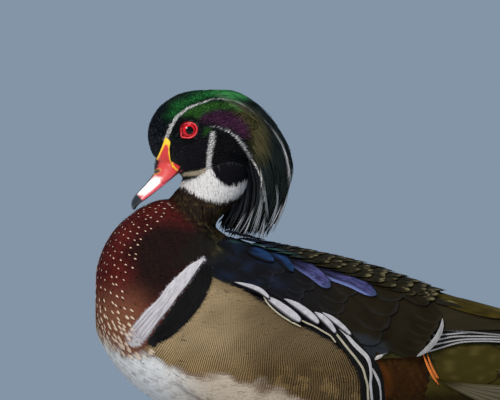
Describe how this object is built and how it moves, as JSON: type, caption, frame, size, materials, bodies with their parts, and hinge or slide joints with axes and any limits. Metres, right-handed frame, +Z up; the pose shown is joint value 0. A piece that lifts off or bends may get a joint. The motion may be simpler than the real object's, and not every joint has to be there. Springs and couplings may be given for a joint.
{
  "type": "wood duck",
  "caption": "Life-size still model of a standing drake wood duck, its head drawn back over its breast and its long crest hanging behind.",
  "frame": {"origin": "on the floor under the middle of the bird's bounding box", "axes": "+Z up, -Y the way the bird faces, +X to the bird's left"},
  "size_m": [0.1036, 0.3062, 0.2397],
  "materials": {
    "head_feathers": "black feathers with a green and purple gloss and white lines",
    "crest_feathers": "long glossy green-black plumes with white streaks",
    "neck_feathers": "short matt black-brown feathers under a white crescent",
    "breast_feathers": "chestnut feathers with small pale spots",
    "body_feathers": "soft pale belly feathers and dark back feathers",
    "flank_feathers": "tan feathers with fine dark wavy lines",
    "rump_feathers": "dark maroon and bronze feathers",
    "wing_feathers": "dark feathers with a blue gloss and silver outer edges on the primaries",
    "tail_feathers": "dark bronze-olive vanes",
    "bill": "smooth horn, red with a white patch, a yellow edge and a black tip",
    "eye": "wet, red iris round a black pupil",
    "leg_skin": "scaly dull yellow skin with darker webs"
  },
  "bodies": {
    "root": {"head": "head_feathers", "crest": "crest_feathers", "neck": "neck_feathers", "breast": "breast_feathers", "torso": "body_feathers", "rump": "rump_feathers", "tail": "tail_feathers", "tail_coverts_upper": "tail_feathers", "tail_coverts_under": "tail_feathers", "bill_upper": "bill", "bill_lower": "bill", "eye_left": "eye", "eye_right": "eye", "wing_left": "wing_feathers", "wing_right": "wing_feathers", "scapulars_left": "wing_feathers", "scapulars_right": "wing_feathers", "flank_left": "flank_feathers", "flank_right": "flank_feathers", "thigh_left": "body_feathers", "thigh_right": "body_feathers", "shank_left": "leg_skin", "shank_right": "leg_skin", "foot_left": "leg_skin", "foot_right": "leg_skin"}
  },
  "joints": []
}
